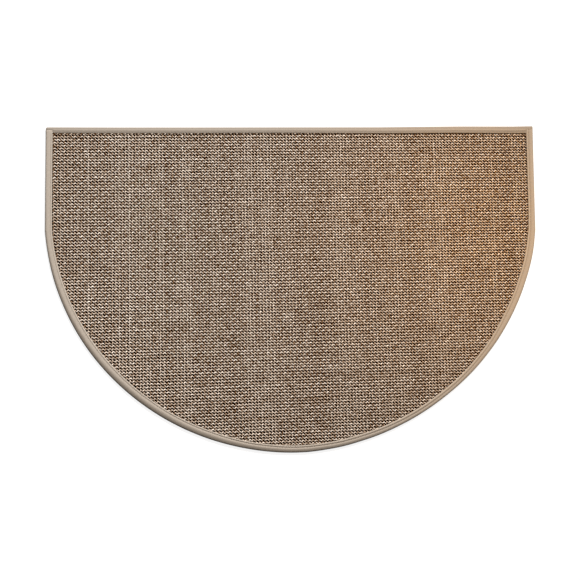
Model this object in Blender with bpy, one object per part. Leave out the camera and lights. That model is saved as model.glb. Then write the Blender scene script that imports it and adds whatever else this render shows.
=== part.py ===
"""Half-round doormat: a woven panel with a tape binding folded round its rim.

The mat lies flat. X runs along the straight edge, +Y points to that edge and +Z is up.
The origin is on the floor, under the middle of the mat's bounding box. Units are metres.
"""

import math

import bmesh
import bpy

# The cut of the mat. The arc is a little larger than half the width, so it meets each
# straight side at a slight corner.
MAT_WIDTH = 0.915
MAT_DEPTH = 0.611
ARC_RADIUS = 0.4595
ARC_CENTRE_X = 0.0005
ARC_CENTRE_Y = 0.1550
RIGHT_CORNER_IN = 0.0004

# Cloth, pressed thinner where the tape grips it.
PANEL_THICKNESS = 0.0058
RIM_LOW = 0.0015
RIM_HIGH = 0.0047
SHOULDER = 0.0008

# Binding tape: one run round the sides and the arc, one along the straight edge.
TAPE_HEIGHT = 0.0066
TAPE_WALL = 0.0020
SIDE_TAPE_REACH = 0.0145
TOP_TAPE_REACH = 0.0120
ROLL = 0.0032
STITCH_INSET = 0.0040
GROOVE_HALF_WIDTH = 0.0013
GROOVE_DEPTH = 0.0007
LIP_DROP = 0.0008
POCKET_LOW = 0.0012
POCKET_HIGH = 0.0050
LEFT_CORNER_RADIUS = 0.0030
RIGHT_CORNER_RADIUS = 0.0010
END_TURN_DEG = 70

# Clearance between sewn pieces.
SEAT_GAP = 0.0003

ROLL_STEPS = 8
SIDE_STEPS = 4
ARC_STEPS = 96
END_STEPS = 4

# How far the hand-cut arc strays from a true circle, outwards. Angles are about the
# arc's centre, from +X, clockwise as seen from above.
ARC_STRAY = (
    {"angle_deg": 5, "out": 0.0},
    {"angle_deg": 12, "out": 0.0012},
    {"angle_deg": 32, "out": 0.0},
    {"angle_deg": 53, "out": -0.0019},
    {"angle_deg": 72, "out": -0.0004},
    {"angle_deg": 87, "out": 0.0011},
    {"angle_deg": 104, "out": 0.0002},
    {"angle_deg": 152, "out": -0.0001},
    {"angle_deg": 167, "out": -0.0003},
    {"angle_deg": 176, "out": -0.0013},
)

TAPE_COLOUR = (0.50, 0.42, 0.33, 1.0)
CLOTH_COLOUR = (0.26, 0.20, 0.15, 1.0)


def clear_scene():
    for obj in list(bpy.data.objects):
        bpy.data.objects.remove(obj, do_unlink=True)


def fabric(name, colour, roughness):
    material = bpy.data.materials.new(name)
    material.use_nodes = True
    shader = material.node_tree.nodes["Principled BSDF"]
    shader.inputs["Base Color"].default_value = colour
    shader.inputs["Roughness"].default_value = roughness
    shader.inputs["Metallic"].default_value = 0.0
    return material


def stray(angle_deg):
    """Outward error of the arc at an angle, eased between the rows of ARC_STRAY."""
    for near, far in zip(ARC_STRAY, ARC_STRAY[1:]):
        if near["angle_deg"] <= angle_deg <= far["angle_deg"]:
            share = (angle_deg - near["angle_deg"]) / (far["angle_deg"] - near["angle_deg"])
            eased = (1 - math.cos(math.pi * share)) / 2
            return near["out"] + (far["out"] - near["out"]) * eased
    return 0.0


def side_and_arc(inset, start_y):
    """Plan of the mat from the right side's top, round the arc, to the left side's top.

    Every point lies inset inside the cut edge. start_y is where both sides begin.
    """
    half_width = MAT_WIDTH / 2 - inset
    radius = ARC_RADIUS - inset
    meet = math.acos((half_width - ARC_CENTRE_X) / radius)
    arc = []
    for step in range(ARC_STEPS + 1):
        angle = meet + (math.pi - 2 * meet) * step / ARC_STEPS
        reach = radius + stray(math.degrees(angle))
        across = ARC_CENTRE_X + reach * math.cos(angle)
        arc.append((across, ARC_CENTRE_Y - reach * math.sin(angle)))
    right = straight((half_width - RIGHT_CORNER_IN, start_y), arc[0])
    left = straight((-half_width, start_y), arc[-1])
    return right + arc + left[::-1]


def straight(start, end):
    """SIDE_STEPS points from start on the way to end, without end itself."""
    points = []
    for step in range(SIDE_STEPS):
        share = step / SIDE_STEPS
        x = start[0] + (end[0] - start[0]) * share
        y = start[1] + (end[1] - start[1]) * share
        points.append((x, y))
    return points


def tape_section(reach):
    """Closed U section of the folded tape as (inset from the cut edge, height) pairs.

    It runs from the lower lip round the rolled edge, past the groove that the stitching
    pulls in, to the upper lip, and back along the pocket that holds the cloth.
    """
    half = TAPE_HEIGHT / 2
    groove = reach - STITCH_INSET
    section = [(reach, 0.0)]
    for step in range(ROLL_STEPS + 1):
        turn = math.pi * step / ROLL_STEPS
        section.append((ROLL * (1 - math.sin(turn)), half - half * math.cos(turn)))
    section += [
        (groove - GROOVE_HALF_WIDTH, TAPE_HEIGHT),
        (groove, TAPE_HEIGHT - GROOVE_DEPTH),
        (groove + GROOVE_HALF_WIDTH, TAPE_HEIGHT),
        (reach - LIP_DROP, TAPE_HEIGHT),
        (reach, TAPE_HEIGHT - LIP_DROP),
        (reach, POCKET_HIGH),
        (TAPE_WALL, POCKET_HIGH),
        (TAPE_WALL, POCKET_LOW),
        (reach, POCKET_LOW),
    ]
    return section


def bridge(mesh, rings, closed_ring):
    """Joins each ring of vertices to the next with quads."""
    for near, far in zip(rings, rings[1:]):
        count = len(near)
        for index in range(count if closed_ring else count - 1):
            after = (index + 1) % count
            mesh.faces.new((near[index], near[after], far[after], far[index]))


def finish_solid(mesh, name, material, smooth_angle_deg):
    bmesh.ops.recalc_face_normals(mesh, faces=mesh.faces)
    data = bpy.data.meshes.new(name)
    mesh.to_mesh(data)
    mesh.free()
    data.materials.append(material)
    data.shade_smooth()
    data.set_sharp_from_angle(angle=math.radians(smooth_angle_deg))
    solid = bpy.data.objects.new(name, data)
    bpy.context.scene.collection.objects.link(solid)
    return solid


def woven_panel(material):
    """The cloth: a flat slab whose rim is pressed into a thin tongue inside the tape."""
    field = SIDE_TAPE_REACH + SEAT_GAP
    field_top = TOP_TAPE_REACH + SEAT_GAP
    tongue = TAPE_WALL + SEAT_GAP
    levels = (
        {"inset": field, "top_inset": field_top, "z": 0.0},
        {"inset": field, "top_inset": field_top, "z": RIM_LOW},
        {"inset": tongue, "top_inset": tongue, "z": RIM_LOW},
        {"inset": tongue, "top_inset": tongue, "z": RIM_HIGH},
        {"inset": field, "top_inset": field_top, "z": RIM_HIGH},
        {"inset": field, "top_inset": field_top, "z": PANEL_THICKNESS - SHOULDER},
        {
            "inset": field + SHOULDER,
            "top_inset": field_top + SHOULDER,
            "z": PANEL_THICKNESS,
        },
    )
    mesh = bmesh.new()
    rings = []
    for level in levels:
        start_y = MAT_DEPTH / 2 - level["top_inset"]
        plan = side_and_arc(level["inset"], start_y)
        rings.append([mesh.verts.new((x, y, level["z"])) for x, y in plan])
    bridge(mesh, rings, closed_ring=True)
    mesh.faces.new(rings[0])
    mesh.faces.new(rings[-1])
    return finish_solid(mesh, "woven_panel", material, smooth_angle_deg=30)


def side_binding(material):
    """The tape round both sides and the arc. It stops just short of the top tape."""
    start_y = MAT_DEPTH / 2 - TOP_TAPE_REACH - SEAT_GAP
    mesh = bmesh.new()
    runs = []
    for inset, height in tape_section(SIDE_TAPE_REACH):
        plan = side_and_arc(inset, start_y)
        runs.append([mesh.verts.new((x, y, height)) for x, y in plan])
    sections = [list(section) for section in zip(*runs)]
    bridge(mesh, sections, closed_ring=True)
    mesh.faces.new(sections[0])
    mesh.faces.new(sections[-1])
    return finish_solid(mesh, "side_binding", material, smooth_angle_deg=35)


def bar_section(reach):
    """Outline of the closed tape without its pocket, from lower lip to upper lip."""
    section = tape_section(reach)
    lip = section.index((reach, TAPE_HEIGHT - LIP_DROP))
    return section[: lip + 1]


def end_stations(corner_radius):
    """Steps of the folded end, from its outermost face inwards.

    squeeze is the share of full height left there, and drawn_in is how far the outer
    edge falls back as it turns the corner.
    """
    last = math.radians(END_TURN_DEG)
    stations = []
    for step in range(END_STEPS + 1):
        turn = last * (1 - step / END_STEPS)
        from_end = ROLL * (1 - math.sin(turn) / math.sin(last))
        short = max(corner_radius - from_end, 0.0)
        drawn_in = corner_radius - math.sqrt(corner_radius**2 - short**2)
        stations.append(
            {"from_end": from_end, "squeeze": math.cos(turn), "drawn_in": drawn_in}
        )
    return stations


def top_ring(mesh, x, station):
    """One section of the top tape at x, squeezed and drawn in as its station says."""
    half = TAPE_HEIGHT / 2
    left_of_reach = 1 - station["drawn_in"] / TOP_TAPE_REACH
    ring = []
    for inset, height in bar_section(TOP_TAPE_REACH):
        inset = TOP_TAPE_REACH - (TOP_TAPE_REACH - inset) * left_of_reach
        height = half + (height - half) * station["squeeze"]
        ring.append(mesh.verts.new((x, MAT_DEPTH / 2 - inset, height)))
    return ring


def box(name, low, high):
    mesh = bmesh.new()
    bmesh.ops.create_cube(mesh, size=1.0)
    for vert in mesh.verts:
        for axis in range(3):
            vert.co[axis] = low[axis] if vert.co[axis] < 0 else high[axis]
    data = bpy.data.meshes.new(name)
    mesh.to_mesh(data)
    mesh.free()
    block = bpy.data.objects.new(name, data)
    bpy.context.scene.collection.objects.link(block)
    block.display_type = "WIRE"
    block.hide_render = True
    return block


def top_binding(material):
    """The tape along the straight edge, folded shut at both corners over the cloth."""
    half_width = MAT_WIDTH / 2
    right_end = half_width - RIGHT_CORNER_IN
    mesh = bmesh.new()
    rings = []
    for station in end_stations(LEFT_CORNER_RADIUS):
        rings.append(top_ring(mesh, station["from_end"] - half_width, station))
    for station in reversed(end_stations(RIGHT_CORNER_RADIUS)):
        rings.append(top_ring(mesh, right_end - station["from_end"], station))
    bridge(mesh, rings, closed_ring=True)
    mesh.faces.new(rings[0])
    mesh.faces.new(rings[-1])
    tape = finish_solid(mesh, "top_binding", material, smooth_angle_deg=35)

    pocket = box(
        "top_pocket",
        (TAPE_WALL - half_width, MAT_DEPTH / 2 - 2 * TOP_TAPE_REACH, POCKET_LOW),
        (right_end - TAPE_WALL, MAT_DEPTH / 2 - TAPE_WALL, POCKET_HIGH),
    )
    cut = tape.modifiers.new("pocket for the cloth", "BOOLEAN")
    cut.operation = "DIFFERENCE"
    cut.solver = "EXACT"
    cut.object = pocket
    return tape


def main():
    clear_scene()
    tape = fabric("binding_tape", TAPE_COLOUR, 0.85)
    cloth = fabric("woven_cloth", CLOTH_COLOUR, 0.95)
    woven_panel(cloth)
    side_binding(tape)
    top_binding(tape)


main()
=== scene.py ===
import math

import bmesh
import bpy
import numpy as np
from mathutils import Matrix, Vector


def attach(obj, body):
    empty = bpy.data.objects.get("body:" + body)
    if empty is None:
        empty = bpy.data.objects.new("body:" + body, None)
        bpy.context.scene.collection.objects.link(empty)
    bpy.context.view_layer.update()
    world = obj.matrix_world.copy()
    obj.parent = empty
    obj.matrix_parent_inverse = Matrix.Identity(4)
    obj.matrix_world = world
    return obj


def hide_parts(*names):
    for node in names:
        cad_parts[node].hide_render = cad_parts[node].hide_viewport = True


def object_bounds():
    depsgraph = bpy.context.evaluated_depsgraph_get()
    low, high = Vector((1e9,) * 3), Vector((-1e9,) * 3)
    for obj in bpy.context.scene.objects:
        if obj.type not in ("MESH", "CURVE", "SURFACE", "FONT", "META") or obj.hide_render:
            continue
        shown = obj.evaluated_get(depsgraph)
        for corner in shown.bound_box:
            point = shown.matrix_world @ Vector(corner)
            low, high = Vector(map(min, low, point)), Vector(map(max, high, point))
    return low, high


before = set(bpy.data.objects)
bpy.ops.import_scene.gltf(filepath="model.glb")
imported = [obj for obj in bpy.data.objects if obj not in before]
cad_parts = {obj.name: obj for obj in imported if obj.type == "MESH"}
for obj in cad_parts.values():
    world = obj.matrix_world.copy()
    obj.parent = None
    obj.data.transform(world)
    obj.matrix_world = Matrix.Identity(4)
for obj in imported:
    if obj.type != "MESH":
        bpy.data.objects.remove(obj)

cad_low, cad_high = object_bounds()

# Ground of the cloth: the dense inner threads that show only in the gaps of the face
# weave, coloured near black as painted shade for the depth of those gaps. It is one
# piece cut to a half-round, pressed thin at its rim where the tape grips it, and its
# underside is the plain back of the cloth.
MM = 0.001
HALF_WIDTH = (cad_high.x - cad_low.x) / 2
STRAIGHT_EDGE_Y = cad_high.y
ARC_RADIUS = 0.4595
ARC_CENTRE_X = 0.0005
ARC_CENTRE_Y = 0.1550
RIGHT_CORNER_IN = 0.0004
# How far the cut edge strays out from a true arc, in metres, at degrees round it.
ARC_STRAY = (
    {"angle": 5, "out": -0.00055},
    {"angle": 12, "out": 0.0005},
    {"angle": 20, "out": -0.0003},
    {"angle": 32, "out": -0.0009},
    {"angle": 40, "out": -0.0016},
    {"angle": 53, "out": -0.0028},
    {"angle": 62, "out": -0.0025},
    {"angle": 72, "out": -0.0017},
    {"angle": 80, "out": -0.0004},
    {"angle": 87, "out": 0.0006},
    {"angle": 104, "out": -0.0002},
    {"angle": 130, "out": -0.0003},
    {"angle": 145, "out": 0.0},
    {"angle": 160, "out": -0.0006},
    {"angle": 170, "out": -0.0014},
    {"angle": 176, "out": -0.0017},
)
# The side tape round the edge. reach, seam, dome and groove are in millimetres: how far
# the tape covers the face, how far its seam lies from its lip, how deep its rounded outer
# edge is and how deep its seam is drawn in. lip and rim are shades, 0.5 plain: lip is
# painted light along the inner lip, paler above 0.5, and rim painted shade on the outer edge, darker
# below 0.5.
TAPE_RUN = (
    {"angle": -20, "reach": 12.9, "seam": 4.2, "dome": 3.0, "groove": 0.8, "lip": 0.50, "rim": 0.50},
    {"angle": 0, "reach": 12.4, "seam": 4.2, "dome": 3.0, "groove": 0.8, "lip": 0.75, "rim": 0.50},
    {"angle": 10, "reach": 14.0, "seam": 4.4, "dome": 3.5, "groove": 0.7, "lip": 0.85, "rim": 0.50},
    {"angle": 26, "reach": 14.0, "seam": 4.6, "dome": 4.0, "groove": 0.6, "lip": 0.65, "rim": 0.50},
    {"angle": 38, "reach": 11.8, "seam": 4.8, "dome": 5.0, "groove": 0.9, "lip": 0.85, "rim": 0.50},
    {"angle": 50, "reach": 10.8, "seam": 5.0, "dome": 5.5, "groove": 1.2, "lip": 1.00, "rim": 0.48},
    {"angle": 62, "reach": 11.2, "seam": 4.9, "dome": 6.0, "groove": 1.2, "lip": 0.95, "rim": 0.42},
    {"angle": 74, "reach": 12.2, "seam": 4.5, "dome": 7.0, "groove": 1.1, "lip": 0.85, "rim": 0.34},
    {"angle": 86, "reach": 12.8, "seam": 4.0, "dome": 7.0, "groove": 1.0, "lip": 0.70, "rim": 0.24},
    {"angle": 98, "reach": 13.4, "seam": 3.6, "dome": 8.0, "groove": 0.9, "lip": 0.60, "rim": 0.19},
    {"angle": 110, "reach": 15.0, "seam": 3.4, "dome": 8.5, "groove": 0.7, "lip": 0.55, "rim": 0.15},
    {"angle": 128, "reach": 16.0, "seam": 3.4, "dome": 8.5, "groove": 0.5, "lip": 0.50, "rim": 0.13},
    {"angle": 146, "reach": 16.2, "seam": 3.4, "dome": 7.5, "groove": 0.3, "lip": 0.50, "rim": 0.14},
    {"angle": 158, "reach": 15.2, "seam": 3.4, "dome": 6.0, "groove": 0.2, "lip": 0.50, "rim": 0.17},
    {"angle": 170, "reach": 13.8, "seam": 3.4, "dome": 4.5, "groove": 0.1, "lip": 0.50, "rim": 0.30},
    {"angle": 184, "reach": 13.4, "seam": 3.4, "dome": 3.0, "groove": 0.1, "lip": 0.50, "rim": 0.42},
    {"angle": 200, "reach": 13.4, "seam": 3.4, "dome": 3.0, "groove": 0.1, "lip": 0.50, "rim": 0.42},
)
TOP_TAPE_REACH = 0.0115
TOP_TAPE_WIDENS = 0.22
GROUND_TOP = 0.0023
GROUND_RIM_LOW = 0.0015
GROUND_RIM_IN = 0.0026
GROUND_UNDERSIDE = 0.0004
GROUND_PAST_LIP = 0.0003
GROUND_SIDE_STEPS = 6
GROUND_ARC_STEPS = 160
ONE_CM = 0.01


def eased(rows, key, angle):
    """A table's value at each angle, easing from one row to the next."""
    angles = np.array([row["angle"] for row in rows], float)
    values = np.array([row[key] for row in rows], float)
    near = np.clip(np.searchsorted(angles, angle) - 1, 0, len(angles) - 2)
    share = (angle - angles[near]) / (angles[near + 1] - angles[near])
    share = (1 - np.cos(np.pi * np.clip(share, 0, 1))) / 2
    return values[near] + (values[near + 1] - values[near]) * share


def top_widening(x):
    """How many times its plain width the straight edge's tape covers, more to the right."""
    return 1 + TOP_TAPE_WIDENS * np.clip(x / HALF_WIDTH, 0, 1)


def angle_round(x, y):
    """Degrees about the arc's centre: 0 to the right, 90 at the front, 180 to the left."""
    angle = np.degrees(np.arctan2(ARC_CENTRE_Y - y, x - ARC_CENTRE_X))
    return np.where(angle < -90, angle + 360, angle)


def side_and_arc(inset, start_y, side_steps, arc_steps):
    """Plan points inside the cut edge, down the right side, round the arc, up the left."""
    half_width = HALF_WIDTH - inset
    radius = ARC_RADIUS - inset
    meet = math.acos((half_width - ARC_CENTRE_X) / radius)
    angle = np.linspace(meet, math.pi - meet, arc_steps + 1)
    reach = radius + eased(ARC_STRAY, "out", np.degrees(angle))
    arc = np.column_stack(
        [ARC_CENTRE_X + reach * np.cos(angle), ARC_CENTRE_Y - reach * np.sin(angle)]
    )
    share = np.arange(side_steps)[:, None] / side_steps
    right = (1 - share) * (half_width - RIGHT_CORNER_IN, start_y) + share * arc[0]
    left = (1 - share) * (-half_width, start_y) + share * arc[-1]
    return np.vstack([right, arc, left[::-1]])


def cut_edge(start_y, side_steps, arc_steps):
    """The cut edge as a run of plan points, and the step inward from each, per metre."""
    edge = side_and_arc(0, start_y, side_steps, arc_steps)
    one_cm_in = side_and_arc(ONE_CM, start_y, side_steps, arc_steps)
    return edge, (one_cm_in - edge) / ONE_CM


def ground_mesh():
    """Rings of points from the back within the tape's lips up to the face, with two caps."""
    levels = (
        {"within_lips": True, "z": GROUND_UNDERSIDE},
        {"within_lips": True, "z": GROUND_RIM_LOW},
        {"within_lips": False, "z": GROUND_RIM_LOW},
        {"within_lips": False, "z": GROUND_TOP},
    )
    mesh = bmesh.new()
    rings = []
    for level in levels:
        top_inset = GROUND_RIM_IN
        if level["within_lips"]:
            top_inset = TOP_TAPE_REACH + GROUND_PAST_LIP
        start_y = STRAIGHT_EDGE_Y - top_inset
        edge, inward = cut_edge(start_y, GROUND_SIDE_STEPS, GROUND_ARC_STEPS)
        insets = np.full(len(edge), GROUND_RIM_IN)
        if level["within_lips"]:
            insets = GROUND_PAST_LIP + MM * eased(TAPE_RUN, "reach", angle_round(*edge.T))
        plan = edge + inward * insets[:, None]
        rings.append([mesh.verts.new((x, y, level["z"])) for x, y in plan])
    for near, far in zip(rings, rings[1:]):
        for index, vert in enumerate(near):
            after = (index + 1) % len(near)
            mesh.faces.new((vert, near[after], far[after], far[index]))
    mesh.faces.new(rings[0])
    mesh.faces.new(rings[-1])
    bmesh.ops.recalc_face_normals(mesh, faces=mesh.faces)
    data = bpy.data.meshes.new("cloth_ground")
    mesh.to_mesh(data)
    mesh.free()
    return data


def new_material(name, roughness):
    """A material with its nodes, its links and its shader."""
    material = bpy.data.materials.new(name)
    material.use_nodes = True
    nodes = material.node_tree.nodes
    shader = nodes["Principled BSDF"]
    shader.inputs["Roughness"].default_value = roughness
    return material, nodes, material.node_tree.links, shader


def colour_ramp(nodes, stops):
    """A ramp node with a colour at each place along it, the two outer ones first."""
    ramp = nodes.new("ShaderNodeValToRGB")
    elements = ramp.color_ramp.elements
    for index, (place, colour) in enumerate(stops):
        element = elements[index] if index < 2 else elements.new(place)
        element.position = place
        element.color = (*colour, 1)
    return ramp


def math_node(nodes, operation, second=None):
    """A math node, with its second value set where nothing is linked to it."""
    node = nodes.new("ShaderNodeMath")
    node.operation = operation
    if second is not None:
        node.inputs[1].default_value = second
    return node


cloth_ground = bpy.data.objects.new("cloth_ground", ground_mesh())
bpy.context.scene.collection.objects.link(cloth_ground)

ground_painted_shade, nodes, links, shader = new_material("ground fibre with painted shade", 0.95)
shader.inputs["Specular IOR Level"].default_value = 0.05
place = nodes.new("ShaderNodeTexCoord")
fleck = nodes.new("ShaderNodeTexNoise")
fleck.inputs["Scale"].default_value = 900
fleck.inputs["Detail"].default_value = 2
# The ground's near-black colour is painted shade for the depth of the weave's gaps.
ramp = colour_ramp(nodes, ((0.35, (0.010, 0.003, 0.001)), (0.70, (0.030, 0.011, 0.003))))
links.new(place.outputs["Object"], fleck.inputs["Vector"])
links.new(fleck.outputs["Fac"], ramp.inputs["Fac"])
links.new(ramp.outputs["Color"], shader.inputs["Base Color"])

# The back of the cloth is the same plain weave, flatter and more even than the face.
CROSS_PITCH = 0.00545
LENGTH_PITCH = 0.0060
# A wave texture has this many ridges a metre at a scale of 1.
WAVES_PER_METRE = 3.1831
ground_back, nodes, links, shader = new_material("plain back of the cloth", 0.9)
place = nodes.new("ShaderNodeTexCoord")
weave = math_node(nodes, "MULTIPLY")
for index, (direction, pitch) in enumerate((("Y", CROSS_PITCH), ("X", LENGTH_PITCH))):
    ridges = nodes.new("ShaderNodeTexWave")
    ridges.bands_direction = direction
    ridges.inputs["Scale"].default_value = 1 / (pitch * WAVES_PER_METRE)
    ridges.inputs["Distortion"].default_value = 0.6
    ridges.inputs["Detail Scale"].default_value = 60
    links.new(place.outputs["Object"], ridges.inputs["Vector"])
    links.new(ridges.outputs["Fac"], weave.inputs[index])
# The low places between the back's ridges are darker, as painted shade in the hollows of the weave.
ramp = colour_ramp(nodes, ((0.05, (0.05, 0.033, 0.02)), (0.55, (0.30, 0.24, 0.185))))
bump = nodes.new("ShaderNodeBump")
bump.inputs["Distance"].default_value = 0.0015
links.new(weave.outputs["Value"], ramp.inputs["Fac"])
links.new(weave.outputs["Value"], bump.inputs["Height"])
links.new(ramp.outputs["Color"], shader.inputs["Base Color"])
links.new(bump.outputs["Normal"], shader.inputs["Normal"])

cloth_ground.data.materials.append(ground_painted_shade)
cloth_ground.data.materials.append(ground_back)
for face in cloth_ground.data.polygons:
    if face.normal.z < -0.5:
        face.material_index = 1
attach(cloth_ground, "root")
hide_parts("woven_panel")

# Face threads: thick natural-fibre yarns in a plain weave. Crosswise threads run over
# and under the lengthwise ones, and each leans a little as it crosses, which leaves
# small slanting gaps between them. The grain sits about a degree askew in the cut.
PITCH_FALL_PER_METRE = 0.17
COLUMN_LEAN = math.radians(1.05)
ROW_RISE = math.radians(1.33)
ROW_RISE_PER_METRE = math.radians(-4.2)
ROWS_REACH = 0.345
COLUMNS_REACH = 0.475
ROW_STRAY = 0.00008
COLUMN_STRAY = 0.00010
LEFT_EDGE_IN = 0.0017
SIDE_LENGTH = 0.2
STEPS_PER_CROSSING = 3
THREAD_SIDES = 5
FEWEST_SAMPLES = 12
TUCK_UNDER_TAPE = 0.0045
FAR_INSIDE = 1.0
FIBRE_SHIFT = 10
SAME_POINT = 0.0000005

rng = np.random.default_rng(11)

row_home = np.arange(-ROWS_REACH, ROWS_REACH, CROSS_PITCH)
row_home = row_home + rng.normal(0, ROW_STRAY, len(row_home))
column_home = [-COLUMNS_REACH]
while column_home[-1] < COLUMNS_REACH:
    column_home.append(
        column_home[-1] + LENGTH_PITCH * (1 - PITCH_FALL_PER_METRE * column_home[-1])
    )
column_home = np.array(column_home)
column_home = column_home + rng.normal(0, COLUMN_STRAY, len(column_home))


def lattice(column, row):
    """Plan position of fractional column and row numbers of the weave."""
    x_home = np.interp(column, np.arange(len(column_home)), column_home)
    y_home = np.interp(row, np.arange(len(row_home)), row_home)
    rise = np.tan(ROW_RISE + ROW_RISE_PER_METRE * y_home)
    x = x_home - np.tan(COLUMN_LEAN) * y_home
    y = y_home + rise * x
    x = x_home - np.tan(COLUMN_LEAN) * y
    return x, y


def depth_inside(x, y):
    """How far each point lies inside the nearest tape lip, negative under the tape."""
    down = np.clip((STRAIGHT_EDGE_Y - y) / SIDE_LENGTH, 0, 1)
    right = HALF_WIDTH - RIGHT_CORNER_IN * (1 - down) - x
    left = x + HALF_WIDTH - LEFT_EDGE_IN * down
    below = ARC_CENTRE_Y - y
    angle = angle_round(x, y)
    arc = ARC_RADIUS + eased(ARC_STRAY, "out", angle) - np.hypot(x - ARC_CENTRE_X, below)
    arc = np.where(below > 0, arc, FAR_INSIDE)
    side = np.minimum(np.minimum(left, right), arc)
    side = side - MM * eased(TAPE_RUN, "reach", angle)
    return np.minimum(side, STRAIGHT_EDGE_Y - y - TOP_TAPE_REACH * top_widening(x))


def soft_step(share):
    """Eases a share from 0 to 1 with a soft start and end."""
    share = np.clip(share, 0, 1)
    return share * share * (3 - 2 * share)


def smooth_noise(count, spacing, amount):
    """Random values that change gently, with a new one every spacing samples."""
    knots = rng.normal(0, amount, int(count / spacing) + 4)
    at = np.arange(count) / spacing + 1
    low = at.astype(int)
    share = soft_step(at - low)
    return knots[low] * (1 - share) + knots[low + 1] * share


def roll_thread(name, path, half_wide, half_high, tone):
    """One yarn: a flat strip of cells rolled into a tube along its path."""
    steps = len(path) - 1
    bpy.ops.mesh.primitive_grid_add(
        x_subdivisions=steps, y_subdivisions=THREAD_SIDES, size=1, calc_uvs=True
    )
    thread = bpy.context.object
    thread.name = name
    flat = np.empty((len(thread.data.vertices), 3))
    thread.data.vertices.foreach_get("co", flat.ravel())
    along = np.rint((flat[:, 0] + 0.5) * steps).astype(int)
    around = np.rint((flat[:, 1] + 0.5) * THREAD_SIDES).astype(int) % THREAD_SIDES
    run = np.gradient(path, axis=0)
    run /= np.linalg.norm(run, axis=1)[:, None]
    across = np.cross(run, (0, 0, 1))
    across /= np.linalg.norm(across, axis=1)[:, None]
    up = np.cross(across, run)
    turn = 2 * np.pi * around / THREAD_SIDES
    taper = np.ones(steps + 1)
    taper[[0, -1]] = 0.0
    wide = (half_wide * taper)[along] * np.sin(turn)
    high = (half_high * taper)[along] * np.cos(turn)
    rolled = path[along] + across[along] * wide[:, None] + up[along] * high[:, None]
    thread.data.vertices.foreach_set("co", rolled.ravel())
    length = np.linalg.norm(np.diff(path, axis=0), axis=1).sum()
    uv = thread.data.uv_layers.active.data
    spots = np.empty((len(uv), 2))
    uv.foreach_get("uv", spots.ravel())
    spots[:, 0] *= length
    spots[:, 0] += rng.uniform(0, FIBRE_SHIFT)
    uv.foreach_set("uv", spots.ravel())
    shade = thread.data.attributes.new("tone", "FLOAT", "POINT")
    shade.data.foreach_set("value", tone[along])
    return thread


def join_threads(name, threads):
    """Makes one piece of many threads, with the doubled points of each tube merged."""
    bpy.ops.object.select_all(action="DESELECT")
    for thread in threads:
        thread.select_set(True)
    bpy.context.view_layer.objects.active = threads[0]
    bpy.ops.object.join()
    joined = bpy.context.object
    joined.name = name
    joined.data.name = name
    bpy.ops.object.mode_set(mode="EDIT")
    bpy.ops.mesh.select_all(action="SELECT")
    bpy.ops.mesh.remove_doubles(threshold=SAME_POINT)
    bpy.ops.mesh.normals_make_consistent(inside=False)
    bpy.ops.object.mode_set(mode="OBJECT")
    bpy.ops.object.shade_smooth()
    joined.location = (0, 0, 0)
    return joined


def kept_stretch(x, y):
    """First and last sample of a thread that lie in the field or just under the tape."""
    inside = np.flatnonzero(depth_inside(x, y) > -TUCK_UNDER_TAPE)
    if len(inside) < FEWEST_SAMPLES:
        return None
    return slice(inside[0], inside[-1] + 1)


PRESS_DEPTH = 0.0010
PRESS_UNDER_LIP = 0.0010
PRESS_LENGTH = 0.0035


def pressed(z, x, y):
    """Lowers a thread where the tape's stitched lip presses the cloth down."""
    risen = soft_step((depth_inside(x, y) + PRESS_UNDER_LIP) / PRESS_LENGTH)
    return z - PRESS_DEPTH * (1 - risen)


# Beside the straight lips the threads carry painted shade, for the shadow of the lips: how dark, and
# how far in, in metres.
SHADE_BY_TOP_LIP = {"most": 0.30, "width": 0.0042}
SHADE_BY_LEFT_LIP = {"most": 0.34, "width": 0.0030}
SHADE_BY_RIGHT_LIP = {"most": 0.20, "width": 0.0030}
LIP_SHADE_TOP_REACH = 0.02
LIP_SHADE_ENDS_AT_Y = ARC_CENTRE_Y - 0.12
LIP_SHADE_FADES_OVER = 0.06


def lip_shade(x, y):
    """How much painted shade darkens a thread in the first millimetres beside the straight lips."""
    straight = np.clip((y - LIP_SHADE_ENDS_AT_Y) / LIP_SHADE_FADES_OVER, 0, 1)
    top = (STRAIGHT_EDGE_Y - y - TOP_TAPE_REACH) < LIP_SHADE_TOP_REACH
    most = np.where(x < 0, SHADE_BY_LEFT_LIP["most"], SHADE_BY_RIGHT_LIP["most"])
    width = np.where(x < 0, SHADE_BY_LEFT_LIP["width"], SHADE_BY_RIGHT_LIP["width"])
    most = np.where(top, SHADE_BY_TOP_LIP["most"], most)
    width = np.where(top, SHADE_BY_TOP_LIP["width"], width)
    near = np.clip(1 - depth_inside(x, y) / width, 0, 1)
    return most * straight * near


# lean, jitter and drift are sideways and in pitches, and the lengths are in metres. Tone
# is 0 for the darkest fibre and 1 for the palest.
# The over term is painted light: each thread is paler where it crosses on top of another.
CROSSWISE = {
    "lean": 0.25, "jitter": 0.035, "drift": 0.025,
    "mid_z": 0.0040, "wave": 0.0005, "half_wide": 0.00106, "half_high": 0.00112,
    "thick_drift": 0.03, "thick_jitter": 0.09, "thicker_at_crossing": 0.28,
    "tone": 0.66, "tone_stray": 0.02, "tone_jitter": 0.10, "painted_light_over": 0.08,
}
LENGTHWISE = {
    "lean": 0.15, "jitter": 0.03, "drift": 0.02,
    "mid_z": 0.0041, "wave": 0.0006, "half_wide": 0.00088, "half_high": 0.00090,
    "thick_drift": 0.04, "thick_jitter": 0.09,
    "tone": 0.40, "tone_stray": 0.04, "tone_jitter": 0.12, "painted_light_over": 0.05,
    "darker_at_crossing": 0.03,
}
STRAY_SPACING = 20
THICK_SPACING = 14
TONE_SPACING = 40
TONE_DRIFT = 0.02
PALE_GROUP = 5
PALE_GROUP_STRAY = 0.04
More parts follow.
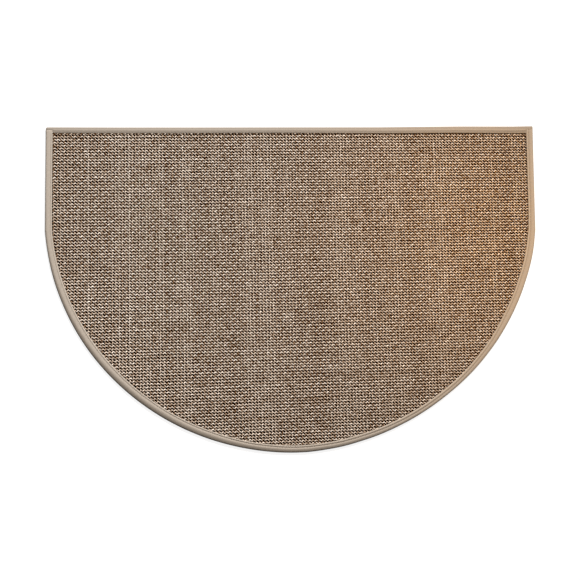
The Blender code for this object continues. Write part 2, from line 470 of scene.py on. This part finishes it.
# Spinning leaves some lengthwise yarns paler than others, often several side by side.
column_tone = rng.normal(LENGTHWISE["tone"], LENGTHWISE["tone_stray"], len(column_home))
column_tone = column_tone + smooth_noise(len(column_home), PALE_GROUP, PALE_GROUP_STRAY)


def sideways(kind, crossing):
    """How far a thread leans and strays from its own line, in pitches."""
    count = len(crossing)
    lean = kind["lean"] * np.sin(2 * np.pi * crossing)
    lean = lean + rng.normal(0, kind["jitter"], count)
    return lean + smooth_noise(count, STRAY_SPACING, kind["drift"])


def thickness(kind, count):
    """How many times its plain thickness a thread has at each sample."""
    thick = 1 + smooth_noise(count, THICK_SPACING, kind["thick_drift"])
    return thick + rng.normal(0, kind["thick_jitter"], count)


def uneven_tone(kind, home, over):
    """A thread's tone at each sample, with painted light where it lies over another."""
    count = len(over)
    tone = home + smooth_noise(count, TONE_SPACING, TONE_DRIFT)
    return tone + rng.normal(0, kind["tone_jitter"], count) + kind["painted_light_over"] * over


def crosswise_thread(row):
    """One thread of the weave's rows, or None where it misses the mat."""
    column = np.arange(0, len(column_home) - 1, 1 / STEPS_PER_CROSSING)
    x, y = lattice(column, row + sideways(CROSSWISE, column))
    kept = kept_stretch(x, y)
    if kept is None:
        return None
    over = np.cos(np.pi * (column + row))
    z = pressed(CROSSWISE["mid_z"] + CROSSWISE["wave"] * over, x, y)
    thick = thickness(CROSSWISE, len(column))
    thick = thick + CROSSWISE["thicker_at_crossing"] * np.cos(2 * np.pi * column)
    thick = thick * (1 + math.tan(ROW_RISE_PER_METRE) * x)
    home = rng.normal(CROSSWISE["tone"], CROSSWISE["tone_stray"])
    tone = uneven_tone(CROSSWISE, home, over) - lip_shade(x, y)
    half_wide = CROSSWISE["half_wide"] * thick[kept]
    half_high = CROSSWISE["half_high"] * thick[kept]
    path = np.column_stack([x, y, z])[kept]
    return roll_thread("crosswise", path, half_wide, half_high, tone[kept])


def lengthwise_thread(column):
    """One thread of the weave's columns, or None where it misses the mat."""
    row = np.arange(0, len(row_home) - 1, 1 / STEPS_PER_CROSSING)
    x, y = lattice(column + sideways(LENGTHWISE, row), row)
    kept = kept_stretch(x, y)
    if kept is None:
        return None
    over = -np.cos(np.pi * (column + row))
    z = pressed(LENGTHWISE["mid_z"] + LENGTHWISE["wave"] * over, x, y)
    thick = thickness(LENGTHWISE, len(row)) * (1 - PITCH_FALL_PER_METRE * x)
    tone = uneven_tone(LENGTHWISE, column_tone[column], over) - lip_shade(x, y)
    tone = tone - LENGTHWISE["darker_at_crossing"] * np.cos(2 * np.pi * row)
    half_wide = LENGTHWISE["half_wide"] * thick[kept]
    half_high = LENGTHWISE["half_high"] * thick[kept]
    path = np.column_stack([x, y, z])[kept]
    return roll_thread("lengthwise", path, half_wide, half_high, tone[kept])


def weave_in_groups(count, make_thread, names):
    """Makes the threads of one direction and joins them into the named groups."""
    threads = [t for t in map(make_thread, range(count)) if t is not None]
    share = math.ceil(len(threads) / len(names))
    return [
        join_threads(name, threads[at * share : (at + 1) * share])
        for at, name in enumerate(names)
    ]


crosswise = weave_in_groups(
    len(row_home) - 1,
    crosswise_thread,
    ("crosswise_threads_near", "crosswise_threads_mid", "crosswise_threads_far"),
)
lengthwise = weave_in_groups(
    len(column_home) - 1,
    lengthwise_thread,
    ("lengthwise_threads_left", "lengthwise_threads_mid", "lengthwise_threads_right"),
)

yarn, nodes, links, shader = new_material("natural fibre yarn", 0.85)
shader.inputs["Specular IOR Level"].default_value = 0.05
tone = nodes.new("ShaderNodeAttribute")
tone.attribute_name = "tone"
spots = nodes.new("ShaderNodeUVMap")
# The place around each tube paints shade on the yarn's flanks and underside, darker away from its
# crest, added to the thread's tone.
around = nodes.new("ShaderNodeSeparateXYZ")
turned = math_node(nodes, "MULTIPLY", 2 * math.pi)
crest = math_node(nodes, "COSINE")
flank_shade = nodes.new("ShaderNodeMapRange")
flank_shade.inputs["From Min"].default_value = 0.0
flank_shade.inputs["From Max"].default_value = 0.9
flank_shade.inputs["To Min"].default_value = -0.55
flank_shade.inputs["To Max"].default_value = 0.04
tone_and_flank_shade = math_node(nodes, "ADD")
stretch = nodes.new("ShaderNodeMapping")
stretch.inputs["Scale"].default_value = (700, 5, 1)
fibres = nodes.new("ShaderNodeTexNoise")
fibres.inputs["Scale"].default_value = 1
fibres.inputs["Detail"].default_value = 2
mixed = math_node(nodes, "MULTIPLY_ADD", 0.5)
lowered = math_node(nodes, "SUBTRACT", 0.25)
ramp = colour_ramp(
    nodes,
    (
        (0.05, (0.050, 0.016, 0.003)),
        (0.95, (0.95, 0.885, 0.805)),
        (0.5, (0.445, 0.352, 0.268)),
        (0.27, (0.200, 0.106, 0.044)),
    ),
)
bump = nodes.new("ShaderNodeBump")
bump.inputs["Distance"].default_value = 0.0003
bump.inputs["Strength"].default_value = 0.6
links.new(spots.outputs["UV"], stretch.inputs["Vector"])
links.new(stretch.outputs["Vector"], fibres.inputs["Vector"])
links.new(fibres.outputs["Fac"], mixed.inputs[0])
links.new(spots.outputs["UV"], around.inputs["Vector"])
links.new(around.outputs["Y"], turned.inputs[0])
links.new(turned.outputs["Value"], crest.inputs[0])
links.new(crest.outputs["Value"], flank_shade.inputs["Value"])
links.new(flank_shade.outputs["Result"], tone_and_flank_shade.inputs[0])
links.new(tone.outputs["Fac"], tone_and_flank_shade.inputs[1])
links.new(tone_and_flank_shade.outputs["Value"], mixed.inputs[2])
links.new(mixed.outputs["Value"], lowered.inputs[0])
links.new(lowered.outputs["Value"], ramp.inputs["Fac"])
links.new(fibres.outputs["Fac"], bump.inputs["Height"])
links.new(ramp.outputs["Color"], shader.inputs["Base Color"])
links.new(bump.outputs["Normal"], shader.inputs["Normal"])

for threads in crosswise + lengthwise:
    threads.data.materials.append(yarn)
    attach(threads, "root")

# Side binding: a strip of woven tape folded over the cut edge, down the right side,
# round the arc and up the left side. Its seam draws it down into a groove, which is
# deepest round the right of the arc, and its ends tuck in under the top tape's ridge.
TAPE_TOP = cad_high.z
HALF_HIGH = TAPE_TOP / 2
TAPE_SKIN = 0.0010
STITCH_PITCH = 0.0045
DIP_REACH = 0.0018
DIP_DEPTH = 0.00018
SIDE_STEPS = 86
ARC_STEPS = 600
LOWER_ROLL = 0.0022
DOME_TO_SEAM = 0.0018
END_INSET = 0.0056
END_HEIGHT_SHARE = 0.91
END_RISES_OVER = 0.003
PLAIN_SHADE = 0.5
# The tape's body is darker round the left of the arc, as painted shade.
LEFT_ARC_SHADE = 0.06
LEFT_ARC_SHADE_FROM = 95
LEFT_ARC_SHADE_OVER = 80
# How far in from the outer edge the rim's painted shade spreads.
RIM_SHADE_SPREAD = 0.3
# The seam groove is darker per millimetre of its depth: painted shade in the recess, with some soil.
GROOVE_SHADE_AND_SOIL_PER_MM = 0.1


def fold_tape(name, places, shade):
    """A flat strip of cells moved to its folded places, with its bands of painted shade and painted
    light.

    places and shade hold one row of points for each step along the strip.
    """
    steps, points = places.shape[0] - 1, places.shape[1] - 1
    bpy.ops.object.select_all(action="DESELECT")
    bpy.ops.mesh.primitive_grid_add(
        x_subdivisions=steps, y_subdivisions=points, size=1, calc_uvs=True
    )
    tape = bpy.context.object
    tape.name = name
    tape.data.name = name
    flat = np.empty((len(tape.data.vertices), 3))
    tape.data.vertices.foreach_get("co", flat.ravel())
    along = np.rint((flat[:, 0] + 0.5) * steps).astype(int)
    around = np.rint((flat[:, 1] + 0.5) * points).astype(int)
    tape.data.vertices.foreach_set("co", places[along, around].ravel())
    bands = tape.data.attributes.new("shade", "FLOAT", "POINT")
    bands.data.foreach_set("value", shade[along, around].astype(np.float32))
    middle = places[:, points // 2]
    length = np.linalg.norm(np.diff(middle, axis=0), axis=1).sum()
    width = np.linalg.norm(np.diff(places[steps // 2], axis=0), axis=1).sum()
    uv = tape.data.uv_layers.active.data
    spots = np.empty((len(uv), 2))
    uv.foreach_get("uv", spots.ravel())
    uv.foreach_set("uv", (spots * (length, width)).ravel())
    bpy.ops.object.mode_set(mode="EDIT")
    bpy.ops.mesh.select_all(action="SELECT")
    bpy.ops.mesh.normals_make_consistent(inside=False)
    bpy.ops.object.mode_set(mode="OBJECT")
    bpy.ops.object.shade_smooth()
    tape.location = (0, 0, 0)
    skin = tape.modifiers.new("tape thickness", "SOLIDIFY")
    skin.thickness = TAPE_SKIN
    skin.offset = -1
    bpy.ops.object.modifier_apply(modifier=skin.name)
    return tape, length, width


def seam_dip(from_seam, travelled):
    """How much lower each point lies beside the seam, deeper at every stitch."""
    near = np.clip(1 - np.abs(from_seam) / DIP_REACH, 0, 1)
    return DIP_DEPTH * (1 + np.cos(2 * np.pi * travelled / STITCH_PITCH)) * near


def run_length(line):
    """Distance travelled along a line of points, up to each one."""
    return np.concatenate([[0], np.cumsum(np.linalg.norm(np.diff(line, axis=0), axis=1))])


edge, inward = cut_edge(STRAIGHT_EDGE_Y - END_INSET, SIDE_STEPS, ARC_STEPS)
angle = angle_round(*edge.T)
reach = MM * eased(TAPE_RUN, "reach", angle)
seam = reach - MM * eased(TAPE_RUN, "seam", angle)
dome = np.minimum(MM * eased(TAPE_RUN, "dome", angle), seam - DOME_TO_SEAM)
groove = MM * eased(TAPE_RUN, "groove", angle)
# lip paints light along the inner lip, and rim paints shade on the rounded outer edge.
lip = eased(TAPE_RUN, "lip", angle)
rim = eased(TAPE_RUN, "rim", angle)
# Painted shade: the body is darker round the left of the arc, and the seam groove is darker the
# deeper it is.
round_left = np.clip((angle - LEFT_ARC_SHADE_FROM) / LEFT_ARC_SHADE_OVER, 0, 1)
plain = PLAIN_SHADE - LEFT_ARC_SHADE * np.sin(np.pi * round_left)
in_groove = plain - GROOVE_SHADE_AND_SOIL_PER_MM * groove / MM
side_seam = edge + inward * seam[:, None]
side_travelled = run_length(side_seam)

section = [
    {"inset": reach, "z": 0.0003, "shade": plain},
    {"inset": seam, "z": 0.0004, "shade": plain},
]
for turn in np.radians((0, 30, 60)):
    section.append(
        {
            "inset": LOWER_ROLL * (1 - math.sin(turn)),
            "z": HALF_HIGH * (1 - math.cos(turn)),
            "shade": (plain + rim) / 2,
        }
    )
# Towards the outer edge the shade turns to the rim's painted shade.
for turn in np.radians((90, 105, 120, 135, 150, 165, 180)):
    outer = (1 + math.cos(2 * turn - math.pi)) / 2
    section.append(
        {
            "inset": dome * (1 - math.sin(turn)),
            "z": HALF_HIGH * (1 - math.cos(turn)),
            "shade": plain + (rim - plain) * outer**RIM_SHADE_SPREAD,
        }
    )
section += [
    {"inset": seam - 0.0013, "z": TAPE_TOP - 0.15 * groove, "shade": plain},
    {"inset": seam - 0.0005, "z": TAPE_TOP - groove, "shade": in_groove},
    {"inset": seam + 0.0005, "z": TAPE_TOP - groove, "shade": in_groove},
    {"inset": seam + 0.0012, "z": TAPE_TOP - 0.3 * groove, "shade": plain},
    {"inset": reach - 0.0016, "z": TAPE_TOP - 0.0001, "shade": lip},
    {"inset": reach - 0.0006, "z": TAPE_TOP - 0.0006, "shade": lip},
    {"inset": reach, "z": TAPE_TOP - 0.0015, "shade": lip},
]


def along_run(key):
    """A column for each row of the section, with its value at every step of the run."""
    return np.column_stack([np.broadcast_to(row[key], len(edge)) for row in section])


insets = along_run("inset")
heights = along_run("z")
dip = seam_dip(insets - seam[:, None], side_travelled[:, None])
heights = heights - dip * (heights > HALF_HIGH)
# Both ends lie over the inner half of the straight edge's tape and tuck in under its ridge.
from_top = STRAIGHT_EDGE_Y - edge[:, 1]
risen = soft_step((from_top - END_INSET) / END_RISES_OVER)
heights = heights * (END_HEIGHT_SHARE + (1 - END_HEIGHT_SHARE) * risen)[:, None]
places = np.dstack(
    [edge[:, :1] + inward[:, :1] * insets, edge[:, 1:] + inward[:, 1:] * insets, heights]
)
side_tape, side_length, side_width = fold_tape("side_tape", places, along_run("shade"))

tape_cloth, nodes, links, shader = new_material("pale beige tape", 0.8)
spots = nodes.new("ShaderNodeUVMap")
ribs = nodes.new("ShaderNodeTexWave")
ribs.bands_direction = "DIAGONAL"
ribs.inputs["Scale"].default_value = 260
ribs.inputs["Distortion"].default_value = 1.5
ribs.inputs["Detail"].default_value = 2
blotches = nodes.new("ShaderNodeTexNoise")
blotches.inputs["Scale"].default_value = 260
blotches.inputs["Detail"].default_value = 3
fade = math_node(nodes, "MULTIPLY_ADD", 0.45)
ramp = colour_ramp(nodes, ((0.05, (0.328, 0.290, 0.243)), (0.70, (0.447, 0.398, 0.338))))
# The shade attribute tints the tape: painted shade below 0.5 and painted light above it.
bands = nodes.new("ShaderNodeAttribute")
bands.attribute_name = "shade"
shade_tint = colour_ramp(
    nodes, ((0.0, (0.20, 0.165, 0.13)), (1.0, (1.0, 1.0, 1.0)), (0.5, (0.8, 0.8, 0.8)))
)
tinted_by_shade = nodes.new("ShaderNodeMix")
tinted_by_shade.data_type = "RGBA"
tinted_by_shade.blend_type = "MULTIPLY"
tinted_by_shade.inputs["Factor"].default_value = 1.0
bump = nodes.new("ShaderNodeBump")
bump.inputs["Distance"].default_value = 0.0002
bump.inputs["Strength"].default_value = 0.5
links.new(spots.outputs["UV"], ribs.inputs["Vector"])
links.new(spots.outputs["UV"], blotches.inputs["Vector"])
links.new(ribs.outputs["Fac"], fade.inputs[0])
links.new(blotches.outputs["Fac"], fade.inputs[2])
links.new(fade.outputs["Value"], ramp.inputs["Fac"])
links.new(bands.outputs["Fac"], shade_tint.inputs["Fac"])
links.new(ramp.outputs["Color"], tinted_by_shade.inputs["A"])
links.new(shade_tint.outputs["Color"], tinted_by_shade.inputs["B"])
links.new(ribs.outputs["Fac"], bump.inputs["Height"])
links.new(tinted_by_shade.outputs["Result"], shader.inputs["Base Color"])
links.new(bump.outputs["Normal"], shader.inputs["Normal"])

side_tape.data.materials.append(tape_cloth)
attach(side_tape, "root")
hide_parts("side_binding")

# Top binding: the same tape folded over the straight edge. It leans down towards its
# stitched lip. At both corners it is turned in, and its inner half is pressed down
# under the side tape's end, which tucks in below its ridge.
LEFT_CORNER_RADIUS = 0.0036
RIGHT_CORNER_RADIUS = 0.0014
TOP_STEPS = 406
END_REACH = 0.0045
END_STEPS = 5
END_CROWDING = 1.6
END_ROUNDNESS = 2.4
END_SHUT_SHARE = 0.30
UNDER_SIDE_TAPE = 0.0140
UNDER_SIDE_TAPE_FADE = 0.002
RIDGE_WIDTH = 0.006
PRESSED_Z = 0.0046
TOP_SEAM = 0.0080
FIRST_FACE_ROW = 6
# The tape's section with its shade across the width: painted shade and painted light in place of the
# shading of its slopes, darkest in the seam groove and by the lip.
TOP_SECTION = (
    {"inset": TOP_TAPE_REACH, "z": 0.0003, "shade": 0.50},
    {"inset": 0.0070, "z": 0.0004, "shade": 0.50},
    {"inset": 0.0020, "z": 0.0004, "shade": 0.50},
    {"inset": 0.0008, "z": 0.0012, "shade": 0.44},
    {"inset": 0.0, "z": 0.0034, "shade": 0.39},
    {"inset": 0.0003, "z": 0.0055, "shade": 0.38},
    {"inset": 0.0012, "z": 0.0065, "shade": 0.39},
    {"inset": 0.0026, "z": 0.0066, "shade": 0.39},
    {"inset": 0.0040, "z": 0.0065, "shade": 0.43},
    {"inset": 0.0054, "z": 0.00655, "shade": 0.52},
    {"inset": 0.0067, "z": 0.00645, "shade": 0.46},
    {"inset": 0.0075, "z": 0.00625, "shade": 0.26},
    {"inset": 0.0085, "z": 0.0062, "shade": 0.24},
    {"inset": 0.0094, "z": 0.0061, "shade": 0.38},
    {"inset": 0.0108, "z": 0.0060, "shade": 0.42},
    {"inset": TOP_TAPE_REACH, "z": 0.0049, "shade": 0.32},
)
# How far the straight edge runs inside a true line, at places along it.
TOP_BOW = (
    {"x": -0.458, "in": 0.0},
    {"x": -0.428, "in": 0.0001},
    {"x": -0.317, "in": 0.0006},
    {"x": -0.168, "in": 0.0009},
    {"x": 0.0, "in": 0.0011},
    {"x": 0.168, "in": 0.0014},
    {"x": 0.317, "in": 0.0002},
    {"x": 0.420, "in": 0.0006},
    {"x": 0.458, "in": 0.0},
)
top_inset = np.array([row["inset"] for row in TOP_SECTION])
top_z = np.array([row["z"] for row in TOP_SECTION])
top_shade = np.array([row["shade"] for row in TOP_SECTION])
on_face = top_z > HALF_HIGH

left_end = -HALF_WIDTH
right_end = HALF_WIDTH - RIGHT_CORNER_IN
across = left_end + (right_end - left_end) * np.linspace(0, 1, TOP_STEPS + 1)
for step, turn in enumerate(np.linspace(0, 1, END_STEPS)):
    across[step] = left_end + END_REACH * turn**END_CROWDING
    across[-1 - step] = right_end - END_REACH * turn**END_CROWDING


def corner_draw(from_end, radius):
    """How far the fold is drawn in at a corner rounded to a radius."""
    short = np.clip(radius - from_end, 0, radius)
    return radius - np.sqrt(radius**2 - short**2)


from_left = across - left_end
from_right = right_end - across
from_end = np.minimum(from_left, from_right)
swell = np.sqrt(1 - np.clip(1 - from_end / END_REACH, 0, 1) ** END_ROUNDNESS)
swell = END_SHUT_SHARE + (1 - END_SHUT_SHARE) * swell
bow = np.interp(across, [row["x"] for row in TOP_BOW], [row["in"] for row in TOP_BOW])
widening = top_widening(across)
drawn = corner_draw(from_left, LEFT_CORNER_RADIUS)
drawn = np.maximum(drawn, corner_draw(from_right, RIGHT_CORNER_RADIUS))
outward = (TOP_TAPE_REACH - top_inset)[None, :] * (1 - drawn / TOP_TAPE_REACH)[:, None]
under_side_tape = np.clip((UNDER_SIDE_TAPE - from_end) / UNDER_SIDE_TAPE_FADE, 0, 1)
pressed_down = np.where((top_inset > RIDGE_WIDTH) & on_face, top_z - PRESSED_Z, 0)
heights = top_z[None, :] - under_side_tape[:, None] * pressed_down[None, :]
dip = seam_dip(top_inset[None, :] - TOP_SEAM, from_left[:, None])
heights = heights - dip * on_face[None, :]
heights = HALF_HIGH + (heights - HALF_HIGH) * swell[:, None]
places = np.dstack(
    [
        np.broadcast_to(across[:, None], outward.shape),
        STRAIGHT_EDGE_Y - (TOP_TAPE_REACH - outward) * widening[:, None] - bow[:, None],
        heights,
    ]
)
shade = np.broadcast_to(top_shade[None, :], heights.shape)
top_tape, top_length, top_width = fold_tape("top_tape", places, shade)
top_tape.data.materials.append(tape_cloth)
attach(top_tape, "root")
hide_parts("top_binding")

# Stitching: one line of lockstitch in strong thread through each tape and the cloth, a
# few millimetres from the lip. Every stitch dives into the tape at its two ends, on the
# face and on the underside.
STITCH_LONG = 0.0034
STITCH_WIDE = 0.0006
STITCH_DEEP = 0.0005
UNDER_STITCH_Z = 0.0004
SIDE_STITCH_SUNK = 0.0001
TOP_STITCH_SUNK = 0.0002
SIDE_STITCH_FROM_TOP = 0.0085
TOP_STITCH_FROM_END = 0.0145
bpy.ops.object.select_all(action="DESELECT")
bpy.ops.mesh.primitive_uv_sphere_add(segments=6, ring_count=5, radius=0.5)
one_stitch = bpy.context.object
one_stitch.rotation_euler = (0, math.radians(90), 0)
bpy.ops.object.transform_apply(location=False, rotation=True, scale=False)
one_stitch.scale = (STITCH_LONG, STITCH_WIDE, STITCH_DEEP)
bpy.ops.object.transform_apply(location=False, rotation=False, scale=True)
bpy.ops.object.shade_smooth()

stitch_thread, nodes, links, shader = new_material("sewing thread", 0.7)
place = nodes.new("ShaderNodeTexCoord")
twist = nodes.new("ShaderNodeTexNoise")
twist.inputs["Scale"].default_value = 1500
ramp = colour_ramp(nodes, ((0.3, (0.16, 0.125, 0.095)), (0.7, (0.30, 0.245, 0.19))))
links.new(place.outputs["Object"], twist.inputs["Vector"])
links.new(twist.outputs["Fac"], ramp.inputs["Fac"])
links.new(ramp.outputs["Color"], shader.inputs["Base Color"])
one_stitch.data.materials.append(stitch_thread)


def sew(name, line, face_z):
    """Copies the stitch along a line, on the face at face_z and on the underside."""
    travelled = run_length(line)
    count = int(travelled[-1] / STITCH_PITCH)
    middles = (np.arange(count) + 0.5) * STITCH_PITCH
    stitches = []
    for middle in middles:
        here = [np.interp(middle, travelled, line[:, axis]) for axis in (0, 1)]
        ahead = [np.interp(middle + MM, travelled, line[:, axis]) for axis in (0, 1)]
        turn = math.atan2(ahead[1] - here[1], ahead[0] - here[0])
        for height in (np.interp(middle, travelled, face_z), UNDER_STITCH_Z):
            stitch = one_stitch.copy()
            stitch.data = one_stitch.data.copy()
            stitch.location = (here[0], here[1], height)
            stitch.rotation_euler = (0, 0, turn)
            bpy.context.scene.collection.objects.link(stitch)
            stitches.append(stitch)
    bpy.ops.object.select_all(action="DESELECT")
    for stitch in stitches:
        stitch.select_set(True)
    bpy.context.view_layer.objects.active = stitches[0]
    bpy.ops.object.join()
    bpy.ops.object.transform_apply(location=True, rotation=True, scale=True)
    seam_line = bpy.context.object
    seam_line.name = name
    seam_line.data.name = name
    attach(seam_line, "root")
    return seam_line


side_run = edge[:, 1] < STRAIGHT_EDGE_Y - SIDE_STITCH_FROM_TOP
side_face = TAPE_TOP - groove - SIDE_STITCH_SUNK
side_stitches = sew("side_stitches", side_seam[side_run], side_face[side_run])
moves_on = np.diff(across, prepend=across[0] - 1) > 0
inside_ends = (from_end > TOP_STITCH_FROM_END) & moves_on
top_line = np.column_stack([across, STRAIGHT_EDGE_Y - TOP_SEAM * widening - bow])[inside_ends]
top_face = np.interp(TOP_SEAM, top_inset[FIRST_FACE_ROW:], top_z[FIRST_FACE_ROW:])
top_stitches = sew("top_stitches", top_line, np.full(len(top_line), top_face - TOP_STITCH_SUNK))
bpy.data.objects.remove(one_stitch)

# Floor: a plain pale floor under the mat. Seen from below it is clear, so that the
# underside of the mat can be looked at.
bpy.ops.mesh.primitive_plane_add(size=8, location=(0, 0, -0.0002))
floor = bpy.context.object
floor.name = "floor"
floor_paint, nodes, links, shader = new_material("pale floor", 0.9)
shader.inputs["Base Color"].default_value = (0.3, 0.3, 0.3, 1)
shader.inputs["Emission Color"].default_value = (1, 1, 1, 1)
shader.inputs["Emission Strength"].default_value = 0.85
back = nodes.new("ShaderNodeNewGeometry")
clear = nodes.new("ShaderNodeBsdfTransparent")
either = nodes.new("ShaderNodeMixShader")
links.new(back.outputs["Backfacing"], either.inputs["Fac"])
links.new(shader.outputs["BSDF"], either.inputs[1])
links.new(clear.outputs["BSDF"], either.inputs[2])
links.new(either.outputs["Shader"], nodes["Material Output"].inputs["Surface"])
floor.data.materials.append(floor_paint)
floor.visible_diffuse = False

# Light: soft studio light from behind the straight edge, and two weak warm lamps close
# over the right of the mat, which give that side its glow.
LAMPS = (
    {
        "name": "key", "place": (0.87, 2.44, 2.25), "aim": (-0.520, -0.400, 0),
        "size": 0.55, "power": 19.5, "spread": 50, "colour": (1.0, 0.943, 0.90),
    },
    {
        "name": "warm side", "place": (0.46, 0.34, 0.62), "aim": (0.358, 0.080, 0),
        "size": 0.12, "power": 0.39, "spread": 73, "colour": (1.0, 0.48, 0.02),
    },
    {
        "name": "warm front", "place": (0.50, -0.42, 0.62), "aim": (0.358, 0.080, 0),
        "size": 0.20, "power": 0.14, "spread": 60, "colour": (1.0, 0.48, 0.02),
    },
)
world = bpy.data.worlds.new("studio")
bpy.context.scene.world = world
world.use_nodes = True
world.node_tree.nodes["Background"].inputs["Color"].default_value = (1.0, 0.943, 0.896, 1)
world.node_tree.nodes["Background"].inputs["Strength"].default_value = 0.20
for row in LAMPS:
    lamp = bpy.data.lights.new(row["name"], "AREA")
    lamp.size = row["size"]
    lamp.spread = math.radians(row["spread"])
    lamp.energy = row["power"]
    lamp.color = row["colour"]
    holder = bpy.data.objects.new(row["name"], lamp)
    bpy.context.scene.collection.objects.link(holder)
    holder.location = row["place"]
    holder.visible_camera = False
    towards = Vector(row["aim"]) - Vector(row["place"])
    holder.rotation_euler = towards.to_track_quat("-Z", "Y").to_euler()

# Camera: high in front of the curved edge, as in the photograph, and turned a very
# little, since the mat doesn't lie quite square to the picture.
TILT = math.radians(9.48)
TURN = math.radians(-0.134)
DISTANCE = 2.977
AIM = (-0.0005, -0.0053, 0.003)
lens = bpy.data.cameras.new("camera")
lens.lens = 100
lens.sensor_width = 36
camera = bpy.data.objects.new("camera", lens)
bpy.context.scene.collection.objects.link(camera)
camera.location = (
    AIM[0],
    AIM[1] - DISTANCE * math.sin(TILT),
    AIM[2] + DISTANCE * math.cos(TILT),
)
camera.rotation_euler = (TILT, 0, TURN)
bpy.context.scene.camera = camera
bpy.context.scene.view_settings.view_transform = "Standard"
# The threads lie about three pixels apart, which the denoiser would smear into stripes
# if its guides were smoothed first.
bpy.context.scene.cycles.denoising_prefilter = "NONE"
